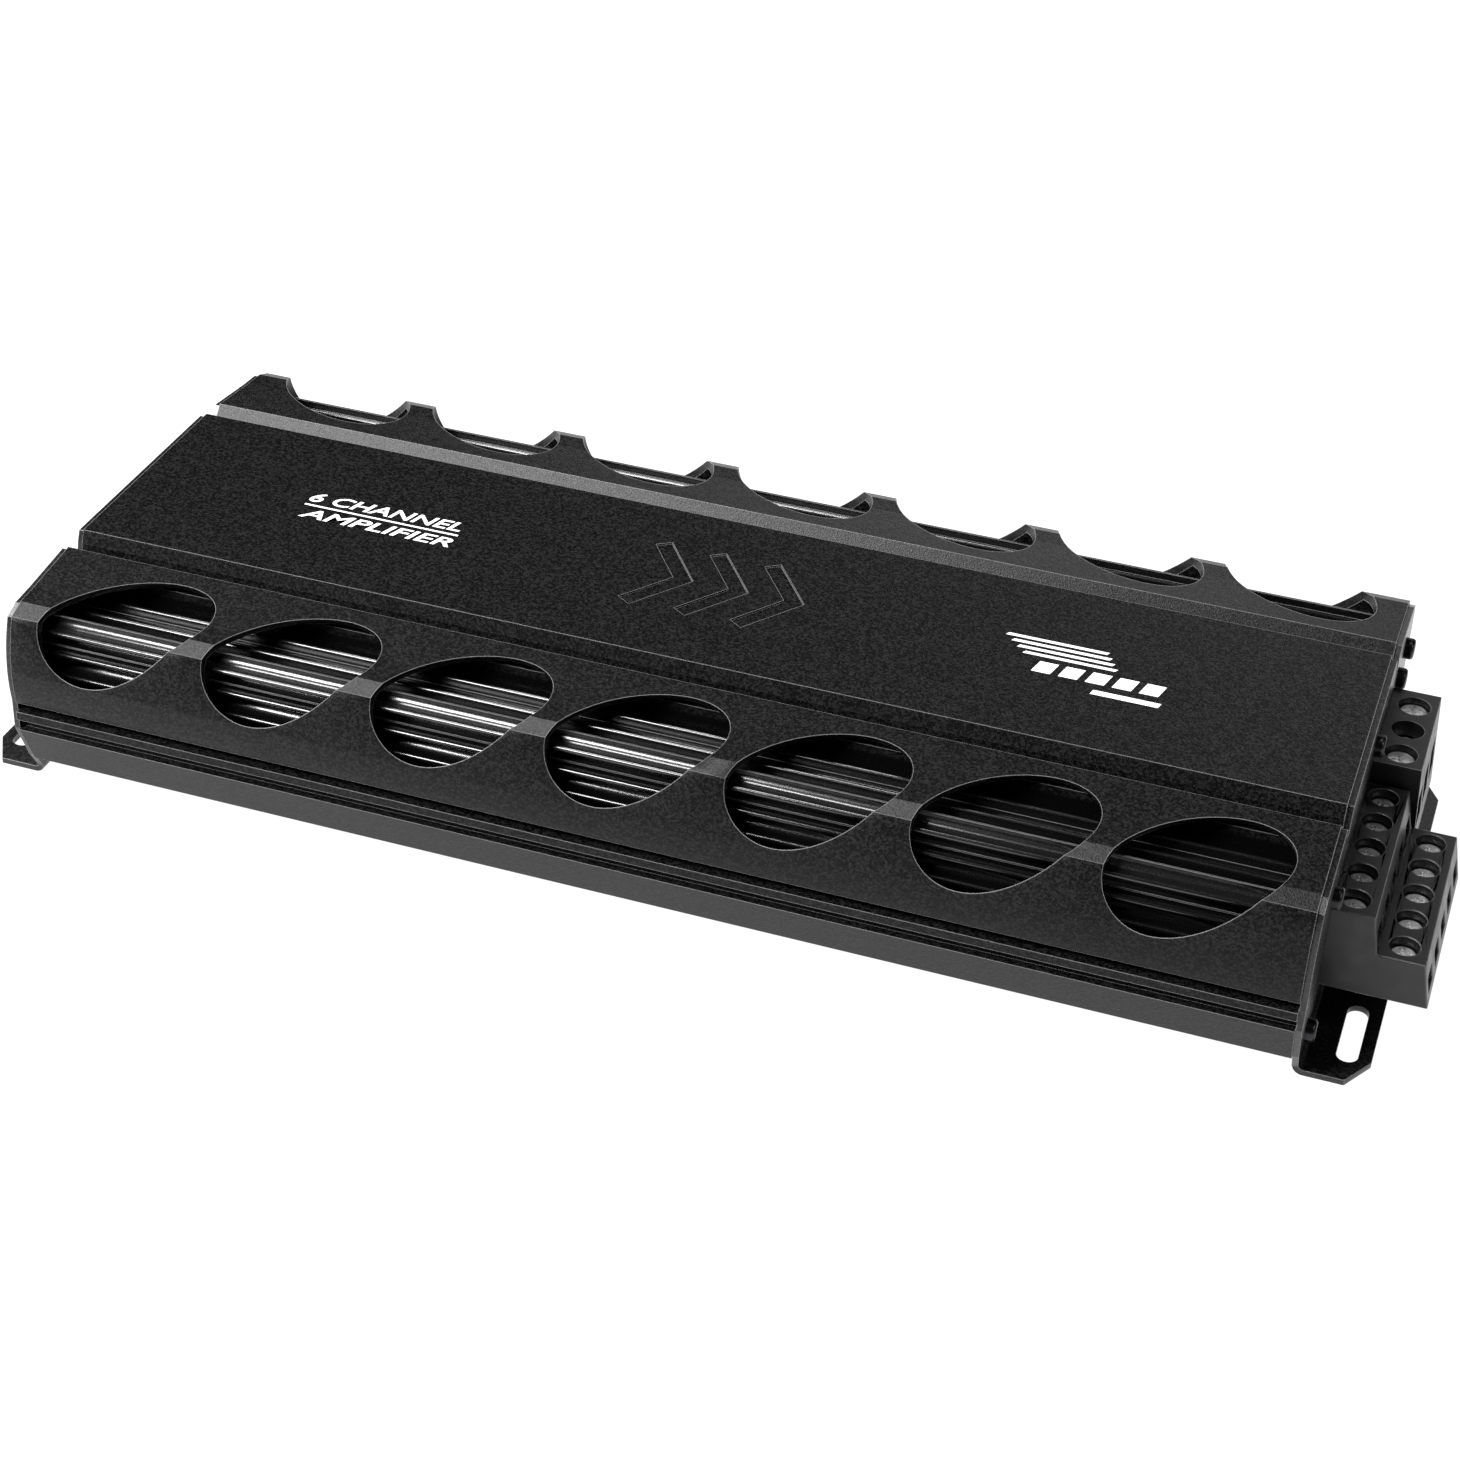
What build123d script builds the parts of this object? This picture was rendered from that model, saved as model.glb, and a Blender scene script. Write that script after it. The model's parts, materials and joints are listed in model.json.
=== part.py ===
# Car amplifier: finned heat sink with two perforated cowls, end plates with slotted feet, screw terminals at
# the output end, and phono jacks, level knobs and slide switches at the input end.
# Units are millimetres. X runs along the heat sink towards the terminals, Y to the rear, Z up.
# The origin is at the middle of the whole object, at the underside of the feet.
import os
from math import cos, pi, radians, sin

from build123d import *

os.makedirs("parts", exist_ok=True)

# ---- driving dimensions -------------------------------------------------------------------------------
BODY_LENGTH = 330.0             # length of the heat sink and of the cowls
BODY_MID_X = -4.92              # the terminals reach further than the input end does
BODY_X0 = BODY_MID_X - BODY_LENGTH / 2
BODY_X1 = BODY_MID_X + BODY_LENGTH / 2
SHEET = 1.6                     # thickness of the folded steel end plates
FIT = 0.1                       # gap between pieces that slide together

# Section of the heat sink and cowls as (distance from the middle plane, Z). Both halves are mirror images.
PANEL_Z = 57.7                  # raised top panel
PANEL_HALF = 34.6
PANEL_RISER = (35.9, 54.3)      # lower end of the panel's steep edge
PANEL_THICK = 5.0
LEDGE_Z = 52.1                  # floor of the groove between panel and cowl
LEDGE_THICK = 2.2
LEDGE_IN = 31.0
BOTTOM_Z = 7.5                  # underside of the heat sink
SKIN = 2.2                      # wall of the cowls and of the flanks

COWL_IN = 39.3                  # edge of the cowl beside the groove
CREST = (42.6, 56.9)            # highest line of the cowl
SHOULDER = (60.4, 54.9)         # outer end of the sloping top
STRIP = (67.2, 54.4)            # outer end of the flat strip along the vents
BROW = (71.9, 52.6)             # top of the side wall
BULGE = (74.7, 41.0)            # widest line of the side wall
COWL_FOOT = (74.3, 28.1)        # lower edge of the cowl

WALL_OUT = 64.6                 # outer face of the heat sink's side walls
WALL_IN = 62.6
RISER = 45.1                    # outer face of the wall between deck and ledge
RISER_THICK = 1.6
DECK_Z = 43.5                   # top of the deck that carries the upright fins
DECK_THICK = 2.5
FIN_HALF = 0.75                 # half thickness of a fin, and radius of its tip
FIN_ROOT_RADIUS = 2.2           # hollow radius between fin and wall
UPRIGHT_FIN_Y = (50.1, 56.9, 63.75)
UPRIGHT_FIN_TIP = 48.6
SIDE_FIN_Z = (47.75, 41.6, 35.3)
SIDE_FIN_TIP = 69.0

RIB_Z = (23.2, 25.6)            # rib between the two grooves of the flank
RIB_OUT = 74.8
SKIRT_TOP = (74.4, 19.9)        # upper and lower corner of the slanting skirt
SKIRT_BOTTOM = (68.7, 7.5)
GROOVE_FLOOR = 72.0

# Vents: elliptic holes cut along slanting axes, with their upper ends leaning towards the terminals.
OVAL_COUNT = 7
OVAL_PITCH = 45.6
OVAL_RADII = (22.5, 14.05)
OVAL_LEAN = 29.0                # degrees between the long radius and X
OVAL_AXIS = (59.2, 44.0)        # point on the axis
OVAL_RISE = 55.0                # degrees between the axis and the horizontal

FOOT_REACH = 17.6               # foot beyond the end of the heat sink
FOOT_CHAMFER = (5.0, 8.7)       # corner cut along X and along Y
FOOT_Y = (-64.7, 67.9)
SLOT_Y = (-46.8, 49.2)
SLOT_LENGTH = 22.0
SLOT_WIDTH = 5.2
SLOT_OUT = 11.7                 # slot centre beyond the end of the heat sink

CORNER_SCREW = (60.8, 10.8)
PANEL_SCREW = (6.0, 49.0)
PLATE_SCREWS = ((-60.8, 10.8), CORNER_SCREW, (-52.4, 43.6), (47.6, 43.6), (59.6, 45.6), PANEL_SCREW)
SCREW_BORE = 1.25               # tapped hole for the plate screws
HEAD_RADIUS = 2.8
HEAD_HEIGHT = 2.4
CLEARANCE_HOLE = 1.6
BOSS_RADIUS = 2.7
BEND_RADIUS = 1.2
PLATE_INSET = 0.7               # edge of the end plates inside the outline of the body

EMBLEM_X = -7.0
EMBLEM_Y = 1.5
EMBLEM_PITCH = 15.0
EMBLEM_STROKE = (4.4, 20.0)
EMBLEM_DEPTH = 0.5

COVER_THICK = 1.5
COVER_SCREW_X = [BODY_MID_X + step * 75.0 for step in (-2, -1, 0, 1, 2)]
COVER_SCREW_Y = 59.0
COVER_SCREW_TIP = 12.0
COVER_BORE = 1.45
STANDOFF_X = [BODY_MID_X + step * 100.0 for step in (-1, 0, 1)]
STANDOFF_Y = 44.0
BOARD_Z = 12.9
BOARD_THICK = 1.6
BOARD_TOP = BOARD_Z + BOARD_THICK
BOARD_X = (BODY_X0 + 3.0, BODY_X1 - 3.0)
BOARD_HALF_Y = 57.0

# screw terminals
SPEAKER_Y0 = 2.1                # rearmost speaker terminal
SPEAKER_PITCH = 11.0
SPEAKER_POLES = 5
SPEAKER_Y = (-47.9, 7.3)
UPPER_TOP = 37.1
LOWER_TOP = 26.8
UPPER_OUT = 11.8                # front of the upper tier beyond the end of the heat sink
LOWER_OUT = 25.1
UPPER_HOLE_OUT = 6.1
LOWER_HOLE_OUT = 19.3
FACE_SLOPE = 0.19               # the wire faces lean outwards towards the bottom
POWER_Y = (7.8, 43.2)
POWER_Y0 = 36.3
POWER_PITCH = 11.4
POWER_TOP = 43.3
POWER_BOTTOM = 18.0
POWER_OUT = 13.6
POWER_HOLE_OUT = 7.7
BLOCK_INSET = 9.0               # the blocks reach this far inside the end plate


class Terminal:
    """Sizes of one kind of screw terminal. Depths are measured down from the top face of its block."""

    def __init__(self, hole, head, shank, head_thick, seat, nut_thick, wire_gap, floor, pad):
        self.hole = hole
        self.head = head
        self.shank = shank
        self.head_thick = head_thick
        self.seat = seat                            # depth of the nut plate's top
        self.nut_bottom = seat + nut_thick
        self.floor_top = seat + nut_thick + wire_gap
        self.floor_bottom = self.floor_top + floor
        self.pad = pad                              # pressure plate: half width and thickness


SPEAKER = Terminal(3.6, 3.15, 1.6, 1.6, 4.1, 1.3, 4.4, 0.7, (2.7, 0.8))
POWER = Terminal(4.1, 3.6, 2.4, 2.4, 7.8, 2.0, 8.6, 1.0, (3.6, 1.0))
TIP_PIN = 0.9                   # pin that carries the pressure plate
RUNNING_FIT = 0.08              # radial clearance of turning pieces

# input end, as (Y, Z) on the plate
JACK_Y = (-48.0, -33.0, -18.0)
JACK_Z = (19.5, 33.5)
JACK_RADIUS = 4.15
JACK_LENGTH = 9.5
KNOB_Y = (0.0, 12.0, 24.0)
GAIN_Z = 20.5
CROSSOVER_Z = 34.5
KNOB_RADIUS = 3.6
KNOB_LENGTH = 6.5
SHAFT_RADIUS = 1.5
FLUTES = 14
SWITCHES = ((38.0, 34.5), (38.0, 20.5), (50.0, 20.5))
SWITCH_TRAVEL = 2.0
LIGHTS = ((48.0, 36.5), (54.0, 36.5))
LIGHT_RADIUS = 1.5


# ---- helpers ------------------------------------------------------------------------------------------
def save(name, shape):
    export_step(shape, f"parts/{name}.step")


def along_x(points, x0, x1):
    """Prism of a closed (y, z) outline between two X positions. A triple marks the middle of an arc."""
    edges = []
    count = len(points)
    index = 0
    while index < count:
        here = points[index]
        after = points[(index + 1) % count]
        if len(after) == 3:
            end = points[(index + 2) % count]
            edges.append(ThreePointArc((x0, *here), (x0, after[0], after[1]), (x0, *end)))
            index += 2
        else:
            edges.append(Line((x0, *here), (x0, *after)))
            index += 1
    face = Face(Wire(edges))
    return extrude(face, amount=x1 - x0, dir=(1, 0, 0))


def block(x0, x1, y0, y1, z0, z1):
    return Pos((x0 + x1) / 2, (y0 + y1) / 2, (z0 + z1) / 2) * Box(x1 - x0, y1 - y0, z1 - z0)


def rod_z(x, y, z0, z1, radius):
    return Pos(x, y, (z0 + z1) / 2) * Cylinder(radius, z1 - z0)


def rod_x(x0, x1, y, z, radius):
    return Pos((x0 + x1) / 2, y, z) * Rot(0, 90, 0) * Cylinder(radius, x1 - x0)


def cut_all(body, tools):
    for tool in tools:
        body = body - tool
    return body


def add_all(body, tools):
    for tool in tools:
        body = body + tool
    return body


# ---- heat sink ----------------------------------------------------------------------------------------
def mirrored(side, points):
    """Put a section outline on one side of the middle plane; an arc's middle keeps its mark."""
    return [(side * point[0], *point[1:]) for point in points]


def fin_outline(tip, floor):
    """Fin that stands on a floor, as (offset across, height) with hollow root radii and a round tip."""
    radius = FIN_ROOT_RADIUS
    near = radius * (1 - cos(pi / 4))
    rise = tip - FIN_HALF
    foot = FIN_HALF + radius
    return [(-foot, floor - 0.5), (-foot, floor), (-FIN_HALF - near, floor + near, True),
            (-FIN_HALF, floor + radius), (-FIN_HALF, rise), (0.0, tip, True), (FIN_HALF, rise),
            (FIN_HALF, floor + radius), (FIN_HALF + near, floor + near, True), (foot, floor), (foot, floor - 0.5)]


def upright_fin(side, y):
    outline = [(y + across, *height) for across, *height in fin_outline(UPRIGHT_FIN_TIP, DECK_Z)]
    return along_x(mirrored(side, outline), BODY_X0, BODY_X1)


def side_fin(side, z):
    outline = [(height, z + across, *mark) for across, height, *mark in fin_outline(SIDE_FIN_TIP, WALL_OUT)]
    return along_x(mirrored(side, outline), BODY_X0, BODY_X1)


def flank(side):
    """Side wall, deck, fins and grooved flank on one side; side is -1 at the front and 1 at the rear."""
    def bar(y0, y1, z0, z1):
        return block(BODY_X0, BODY_X1, *sorted((side * y0, side * y1)), z0, z1)

    rib_root = (RIB_Z[0] + RIB_Z[1]) / 2
    cowl_rest = COWL_FOOT[1] + SKIN + FIT
    cover_top = BOTTOM_Z + COVER_THICK + FIT
    deck_bottom = DECK_Z - DECK_THICK
    solids = [
        bar(WALL_IN, WALL_OUT, BOTTOM_Z, DECK_Z),
        bar(RISER - RISER_THICK, WALL_OUT, deck_bottom, DECK_Z),
        bar(RISER - RISER_THICK, RISER, deck_bottom, LEDGE_Z),
        bar(LEDGE_IN, RISER, LEDGE_Z - LEDGE_THICK, LEDGE_Z),
        bar(WALL_IN, SIDE_FIN_TIP, cowl_rest, cowl_rest + 2 * FIN_HALF),
        bar(WALL_IN, RIB_OUT, *RIB_Z),
        bar(WALL_IN - 5.0, WALL_IN + 1.0, cover_top, cover_top + 1.5),
    ]
    solids += [upright_fin(side, y) for y in UPRIGHT_FIN_Y]
    solids += [side_fin(side, z) for z in SIDE_FIN_Z]
    outer = [(WALL_IN, BOTTOM_Z), SKIRT_BOTTOM, SKIRT_TOP, (GROOVE_FLOOR, SKIRT_TOP[1]),
             (GROOVE_FLOOR, rib_root), (WALL_IN, rib_root)]
    inside = GROOVE_FLOOR - 2.0
    chamber = [(WALL_OUT, BOTTOM_Z + SKIN), (SKIRT_BOTTOM[0] - 1.5, BOTTOM_Z + SKIN),
               (inside, SKIRT_TOP[1] - 4.0), (inside, RIB_Z[0] - 1.0), (WALL_OUT, RIB_Z[0] - 1.0)]
    skirt = along_x(mirrored(side, outer), BODY_X0, BODY_X1)
    skirt = skirt - along_x(mirrored(side, chamber), BODY_X0 - 1, BODY_X1 + 1)
    return add_all(skirt, solids)


def panel():
    """Raised plateau between the two grooves, with a shallow hollow under its middle."""
    under = LEDGE_Z - LEDGE_THICK
    hollow = PANEL_Z - PANEL_THICK
    half = [(PANEL_HALF, PANEL_Z), PANEL_RISER, (PANEL_RISER[0] + 0.2, LEDGE_Z - 0.1),
            (PANEL_RISER[0] + 0.2, under), (LEDGE_IN, under), (LEDGE_IN, hollow)]
    return along_x(half + mirrored(-1, reversed(half)), BODY_X0, BODY_X1)


def heatsink():
    body = add_all(panel(), [flank(-1), flank(1)])
    bosses = [rod_x(BODY_X0, BODY_X1, y, z, BOSS_RADIUS) for y, z in PLATE_SCREWS]
    y, z = PANEL_SCREW
    bosses.append(block(BODY_X0, BODY_X1, y - 1.5, y + 1.5, z, PANEL_Z - 1.0))
    bores = []
    for y, z in PLATE_SCREWS:
        bores.append(rod_x(BODY_X0 - 1, BODY_X0 + 12, y, z, SCREW_BORE))
        bores.append(rod_x(BODY_X1 - 12, BODY_X1 + 1, y, z, SCREW_BORE))
    for x in COVER_SCREW_X:
        for y in (-COVER_SCREW_Y, COVER_SCREW_Y):
            bores.append(rod_z(x, y, 0, COVER_SCREW_TIP + 0.2, COVER_BORE))
    return cut_all(add_all(body, bosses), bores) - emblem()


def emblem():
    """Three plain nested chevrons, sunk into the middle of the panel."""
    strokes = []
    for step in (-1, 0, 1):
        for side in (-1, 1):
            stroke = Pos(EMBLEM_X + step * EMBLEM_PITCH, EMBLEM_Y + side * 7.0, PANEL_Z)
            strokes.append(stroke * Rot(0, 0, side * 35) * Box(*EMBLEM_STROKE, 2 * EMBLEM_DEPTH))
    return add_all(strokes[0], strokes[1:])


# ---- cowls --------------------------------------------------------------------------------------------
def cowl_outline(side):
    """Outer and inner line of a cowl's section as one closed strip."""
    rest = LEDGE_Z + FIT
    lip = WALL_OUT + FIT
    foot_y, foot_z = COWL_FOOT
    outer = [(COWL_IN, rest), (COWL_IN, rest + 0.7), (COWL_IN + 0.6, rest + 1.4), CREST, SHOULDER, STRIP, BROW,
             (*BULGE, True), COWL_FOOT, (lip, foot_z)]
    inner = [(lip, foot_z + SKIN), (foot_y - SKIN, foot_z + SKIN), (BULGE[0] - SKIN, BULGE[1], True),
             (BROW[0] - SKIN, BROW[1] - 1.2), (STRIP[0] - 0.6, STRIP[1] - SKIN),
             (SHOULDER[0], SHOULDER[1] - SKIN), (CREST[0] + 1.4, CREST[1] - SKIN - 0.4),
             (CREST[0] - 0.6, rest)]
    return mirrored(side, outer + inner)


def oval_cutter(x, side):
    """Elliptic bar along a slanting axis, from inside the cowl outwards."""
    across = cos(radians(OVAL_RISE))
    up = sin(radians(OVAL_RISE))
    outward = Vector(0, side * across, up)
    start = Vector(x, side * OVAL_AXIS[0], OVAL_AXIS[1]) - outward * 4.0
    plane = Plane(origin=start, x_dir=(1, 0, 0), z_dir=outward)
    return extrude(plane * Rot(0, 0, -side * OVAL_LEAN) * Ellipse(*OVAL_RADII), amount=40.0)


def cowl(side):
    shell = along_x(cowl_outline(side), BODY_X0, BODY_X1)
    first = BODY_MID_X - OVAL_PITCH * (OVAL_COUNT - 1) / 2
    cutters = [oval_cutter(first + OVAL_PITCH * index, side) for index in range(OVAL_COUNT)]
    return cut_all(shell, cutters)


# ---- end plates ---------------------------------------------------------------------------------------
def plate_outline():
    """Outline of the plates: slightly inside the section of heat sink and cowls, down to the foot."""
    inset = PLATE_INSET
    groove = LEDGE_Z - inset
    half = [(PANEL_HALF - 0.6, PANEL_Z - inset), (PANEL_RISER[0] - inset, PANEL_RISER[1]),
            (PANEL_RISER[0], groove), (COWL_IN + inset, groove), (COWL_IN + 1.2, groove + 1.8),
            (CREST[0] + 0.2, CREST[1] - inset), (SHOULDER[0], SHOULDER[1] - inset),
            (STRIP[0] - 0.2, STRIP[1] - inset), (BROW[0] - 0.6, BROW[1] - inset),
            (BULGE[0] - inset, BULGE[1], True),
            (COWL_FOOT[0] - inset, COWL_FOOT[1]), (SKIRT_TOP[0] - inset, SKIRT_TOP[1]),
            (SKIRT_BOTTOM[0] - 0.2, SKIRT_BOTTOM[1] + 0.7)]
    rear = half + [(FOOT_Y[1], 5.0), (FOOT_Y[1], 0.0)]
    front = half + [(-FOOT_Y[0], 2.0), (-FOOT_Y[0], 0.0)]
    return rear + mirrored(-1, reversed(front))


def end_plate(side):
    """Folded plate with a slotted foot; side is 1 at the output end and -1 at the input end."""
    end = BODY_X1 if side > 0 else BODY_X0
    near, far = sorted((end, end + side * SHEET))
    plate = along_x(plate_outline(), near, far)
    reach = end + side * FOOT_REACH
    notch = reach - side * FOOT_CHAMFER[0]
    corners = [(end, FOOT_Y[0]), (notch, FOOT_Y[0]), (reach, FOOT_Y[0] + FOOT_CHAMFER[1]),
               (reach, FOOT_Y[1] - FOOT_CHAMFER[1]), (notch, FOOT_Y[1]), (end, FOOT_Y[1])]
    foot = extrude(make_face(Polyline(*corners, close=True)), amount=SHEET, dir=(0, 0, 1))
    slots = []
    for y in SLOT_Y:
        slot = extrude(SlotOverall(SLOT_LENGTH, SLOT_WIDTH), amount=4, both=True)
        slots.append(Pos(end + side * SLOT_OUT, y, 0) * Rot(0, 0, 90) * slot)
    holes = [rod_x(near - 1, far + 1, y, z, CLEARANCE_HOLE) for y, z in PLATE_SCREWS]
    return cut_all(cut_all(plate + foot, slots), holes)


def window(y_range, z_range):
    """Opening of the output plate around a terminal block."""
    gap = 0.3
    y0, y1 = y_range
    z0, z1 = z_range
    return block(BODY_X1 - 1, BODY_X1 + 3, y0 - gap, y1 + gap, z0 - gap, z1 + gap)


def output_end_plate():
    seam = (SPEAKER_Y[1] + POWER_Y[0]) / 2
    plate = end_plate(1)
    plate = plate - window((SPEAKER_Y[0], seam), (BOARD_TOP, UPPER_TOP))
    plate = plate - window((seam, POWER_Y[1]), (POWER_BOTTOM, POWER_TOP))
    return bend_rounding(plate, 1)


def bend_rounding(plate, side):
    """Round the fold between plate and foot, inside and outside."""
    end = BODY_X1 if side > 0 else BODY_X0
    for x, z, radius in ((end + side * SHEET, SHEET, BEND_RADIUS), (end, 0.0, BEND_RADIUS + SHEET)):
        edges = plate.edges().filter_by(Axis.Y).filter_by(lambda e: abs(e.center().X - x) < 0.01)
        edges = edges.filter_by(lambda e: abs(e.center().Z - z) < 0.01)
        plate = fillet(edges, radius)
    return plate


def input_end_plate():
    plate = end_plate(-1)
    x0 = BODY_X0 - SHEET - 1
    x1 = BODY_X0 + 1
    tools = [rod_x(x0, x1, y, z, JACK_RADIUS + 0.5) for y in JACK_Y for z in JACK_Z]
    tools += [rod_x(x0, x1, y, z, 3.3) for y in KNOB_Y for z in (GAIN_Z, CROSSOVER_Z)]
    tools += [block(x0, x1, y - 4.6, y + 4.6, z - 2.4, z + 2.4) for y, z in SWITCHES]
    tools += [rod_x(x0, x1, y, z, LIGHT_RADIUS + 0.15) for y, z in LIGHTS]
    return bend_rounding(cut_all(plate, tools), -1)


def plate_screws(side):
    """Pan-head screws of one end plate, one solid each, in a list."""
    face = BODY_X1 + SHEET if side > 0 else BODY_X0 - SHEET
    top = face + side * HEAD_HEIGHT
    screws = []
    for y, z in PLATE_SCREWS:
        head = rod_x(*sorted((face, top)), y, z, HEAD_RADIUS)
        rim = head.edges().filter_by(lambda e: abs(e.center().X - top) < 0.01)
        head = fillet(rim, 0.9)
        shank = rod_x(*sorted((face, face - side * 10.0)), y, z, SCREW_BORE)
        drive = rod_x(*sorted((face + side * 1.2, face + side * 3.0)), y, z, 0.5)
        for angle in (0, 90):
            bar = Pos(face + side * 2.0, y, z) * Rot(angle, 0, 0) * Box(1.6, 0.7, 3.0)
            drive = drive + bar
        screws.append(head + shank - drive)
    return screws


# ---- bottom cover and its screws ----------------------------------------------------------------------
def bottom_cover():
    half = WALL_IN - 0.2
    sheet = block(BODY_X0 + 0.5, BODY_X1 - 0.5, -half, half, BOTTOM_Z, BOTTOM_Z + COVER_THICK)
    y, z = CORNER_SCREW
    holes = [rod_x(BODY_X0 - 1, BODY_X1 + 1, side * y, z, BOSS_RADIUS + 0.2) for side in (-1, 1)]
    for x in COVER_SCREW_X:
        for side in (-1, 1):
            holes.append(rod_z(x, side * COVER_SCREW_Y, 0, 20, CLEARANCE_HOLE))
    return cut_all(sheet, holes)


def cover_screws():
    screws = []
    for x in COVER_SCREW_X:
        for y in (-COVER_SCREW_Y, COVER_SCREW_Y):
            head = Pos(x, y, BOTTOM_Z - 1.0) * Cylinder(2.8, 2.0)
            head = fillet(head.edges().group_by(Axis.Z)[0], 0.8)
            screws.append(head + rod_z(x, y, BOTTOM_Z - 0.5, COVER_SCREW_TIP, 1.4))
    return Compound(children=screws)


def standoffs():
    posts = []
    for x in STANDOFF_X:
        for y in (-STANDOFF_Y, STANDOFF_Y):
            posts.append(rod_z(x, y, BOTTOM_Z + COVER_THICK, BOARD_Z, 3.0) - rod_z(x, y, 0, 20, SCREW_BORE))
    return Compound(children=posts)


def board_screws():
    screws = []
    for x in STANDOFF_X:
        for y in (-STANDOFF_Y, STANDOFF_Y):
            head = rod_z(x, y, BOARD_TOP, BOARD_TOP + 2.0, 2.7)
            screws.append(head + rod_z(x, y, BOARD_Z - 3, BOARD_TOP, SCREW_BORE))
    return Compound(children=screws)


def circuit_board():
    board = block(*BOARD_X, -BOARD_HALF_Y, BOARD_HALF_Y, BOARD_Z, BOARD_TOP)
    holes = [rod_z(x, y, 0, 20, 1.6) for x in STANDOFF_X for y in (-STANDOFF_Y, STANDOFF_Y)]
    return cut_all(board, holes)


# ---- electronics --------------------------------------------------------------------------------------
TRANSISTOR_X = [BODY_MID_X - 110 + 20.0 * index for index in range(11)]
PAD_GAP = 0.25                  # thermal paste and mica between a transistor and the wall
TRANSISTOR_Z = (BOARD_TOP + 3.5, BOARD_TOP + 19.0)
LEG_PITCH = 2.54


def transistor_leg(x, side):
    """Leg that drops from the case, turns inwards and stands on the board."""
    down = WALL_IN - PAD_GAP - 2.6
    stand = BOARD_HALF_Y - 2.0
    bend = BOARD_TOP + 1.6
    upper = block(x - 0.4, x + 0.4, *sorted((side * down, side * (down + 0.5))), bend, TRANSISTOR_Z[0] + 0.5)
    level = block(x - 0.4, x + 0.4, *sorted((side * stand, side * (down + 0.5))), bend, bend + 0.5)
    lower = block(x - 0.4, x + 0.4, *sorted((side * stand, side * (stand + 0.5))), BOARD_TOP, bend + 0.5)
    return upper + level + lower


def transistors():
    bodies = []
    for x in TRANSISTOR_X:
        for side in (-1, 1):
            back = WALL_IN - PAD_GAP
            case = block(x - 5, x + 5, *sorted((side * (back - 4.5), side * back)), *TRANSISTOR_Z)
            for shift in (-LEG_PITCH, 0, LEG_PITCH):
                case = case + transistor_leg(x + shift, side)
            bodies.append(case)
    return Compound(children=bodies)


def clamp_bars():
    bars = []
    x0 = TRANSISTOR_X[0] - 6
    x1 = TRANSISTOR_X[-1] + 6
    face = WALL_IN - PAD_GAP - 4.5
    for side in (-1, 1):
        span = sorted((side * (face - 1.6), side * face))
        bars.append(block(x0, x1, *span, TRANSISTOR_Z[0] + 4, TRANSISTOR_Z[1] - 3))
    return Compound(children=bars)


def ring(x, y, z0, z1, outer, inner, rounding):
    body = rod_z(x, y, z0, z1, outer) - rod_z(x, y, z0 - 1, z1 + 1, inner)
    return fillet(body.edges().filter_by(GeomType.CIRCLE), rounding)


TOROID_X = BODY_MID_X + 62.0
COIL_PITCH = 19.0


def transformer():
    """Toroidal transformer of the power supply: the wound ring, as one closed body."""
    return ring(TOROID_X, 0, BOARD_TOP, BOARD_TOP + 23.0, 24.5, 10.0, 3.5)


def capacitors():
    cans = []
    for index in range(3):
        for y in (-18.0, 18.0):
            can = rod_z(BODY_MID_X - 6 - 22 * index, y, BOARD_TOP, BOARD_TOP + 30, 9.0)
            cans.append(fillet(can.edges().filter_by(GeomType.CIRCLE), 1.0))
    return Compound(children=cans)


def inductors():
    coils = []
    for index in range(6):
        x = BODY_MID_X + 112 + COIL_PITCH * (index % 2)
        y = -34 + COIL_PITCH * (index // 2)
        coils.append(ring(x, y, BOARD_TOP, BOARD_TOP + 9, 8.5, 3.5, 2.0))
    return Compound(children=coils)


# ---- screw terminals ----------------------------------------------------------------------------------
def terminal_chamber(kind, x, y, top, face_x):
    """Everything that one pole takes out of its block: screw hole, metal box and wire entry."""
    half = kind.pad[0] + 1.4
    hole = rod_z(x, y, top - kind.seat, top + 1, kind.hole)
    box = block(x - half, x + half, y - half, y + half, top - kind.floor_bottom, top - kind.seat)
    entry = block(x, face_x + 5, y - half + 0.8, y + half - 0.8, top - kind.floor_top, top - kind.nut_bottom)
    return hole + box + entry


def contact_box(kind, x, y, top):
    """Nut plate, two sides and floor of one pole, bent from one strip."""
    half = kind.pad[0] + 1.4 - 0.05
    inner = kind.pad[0] + 0.4
    z0 = top - kind.floor_bottom
    z1 = top - kind.seat
    shell = block(x - half, x + half, y - half, y + half, z0, z1)
    cavity_top = top - kind.nut_bottom
    cavity = block(x - half - 1, x + half + 1, y - inner, y + inner, top - kind.floor_top, cavity_top)
    return shell - cavity - rod_z(x, y, cavity_top - 1, z1 + 1, kind.shank + RUNNING_FIT)


def terminal_screw(kind, x, y, top, lift):
    """Head, shank and tip of a clamping screw that stands lift above its tightened position."""
    seat = top - kind.seat + 0.1 + lift
    head = Pos(x, y, seat + kind.head_thick / 2) * Cylinder(kind.head, kind.head_thick)
    head = fillet(head.edges().group_by(Axis.Z)[-1], 0.4)
    pad_top = seat - screw_length(kind)
    body = head + rod_z(x, y, pad_top, seat, kind.shank)
    body = body + rod_z(x, y, pad_top - kind.pad[1], pad_top, TIP_PIN)
    for angle in (20, 110):
        slot = Pos(x, y, seat + kind.head_thick) * Rot(0, 0, angle) * Box(kind.head * 1.3, 0.9, 1.6)
        body = body - slot
    return body


def screw_length(kind):
    """From under the head to the top of the pressure plate, which lies 0.1 above the floor when tight."""
    return kind.floor_top - kind.seat - kind.pad[1]


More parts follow.
